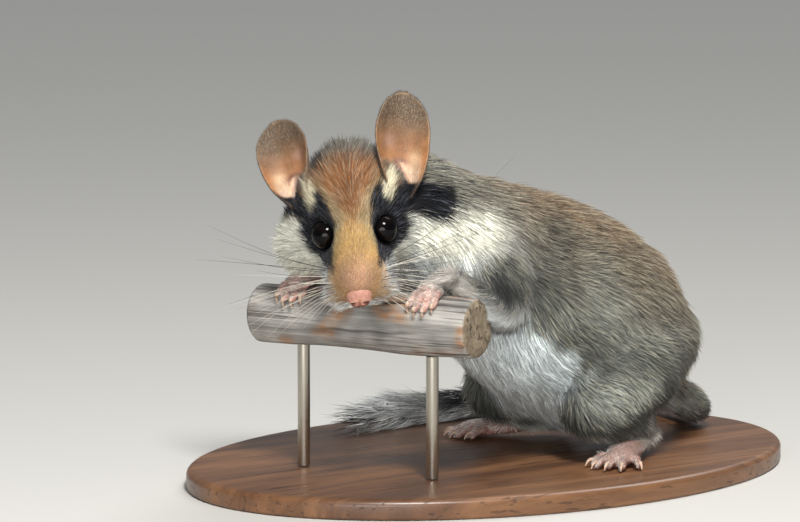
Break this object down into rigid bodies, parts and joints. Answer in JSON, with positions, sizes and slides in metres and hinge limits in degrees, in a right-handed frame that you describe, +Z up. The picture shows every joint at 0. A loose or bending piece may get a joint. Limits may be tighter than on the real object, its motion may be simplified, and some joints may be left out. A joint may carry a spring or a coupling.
{
  "type": "garden dormouse",
  "caption": "Life-size garden dormouse on its hind feet, leaning its forepaws on a short cut branch that thin rods hold over a flat oval base.",
  "frame": {"origin": "centre of the stand base's underside", "axes": "+Z up; -X is the way the trunk faces and +X its rump; -Y is the animal's left side and +Y its right"},
  "size_m": [0.164, 0.116, 0.0969],
  "materials": {
    "fur_back": "grey-brown ticked fur",
    "fur_neck": "cream and grey-brown fur",
    "fur_head": "cinnamon, black and cream fur",
    "eye": "wet black",
    "ear_skin": "thin skin with down",
    "fur_legs": "grey-brown to cream fur",
    "paw_skin": "bare pink skin with white hairs",
    "fur_tail": "grey-brown fur",
    "fur_tuft": "black and white brush",
    "weathered_wood": "weathered grey, sawn ends",
    "stand_wood": "dark satin",
    "stand_metal": "dark satin"
  },
  "bodies": {
    "root": {"torso": "fur_back", "neck": "fur_neck", "head": "fur_head", "eye_left": "eye", "eye_right": "eye", "ear_left": "ear_skin", "ear_right": "ear_skin", "foreleg_left": "fur_legs", "foreleg_right": "fur_legs", "hindleg_left": "fur_legs", "hindleg_right": "fur_legs", "forepaw_left": "paw_skin", "forepaw_right": "paw_skin", "hindfoot_left": "paw_skin", "hindfoot_right": "paw_skin", "tail_base": "fur_tail", "tail_middle": "fur_tail", "tail_tuft": "fur_tuft", "perch": "weathered_wood", "stand_base": "stand_wood", "stand_rod_1": "stand_metal", "stand_rod_2": "stand_metal"}
  },
  "joints": []
}
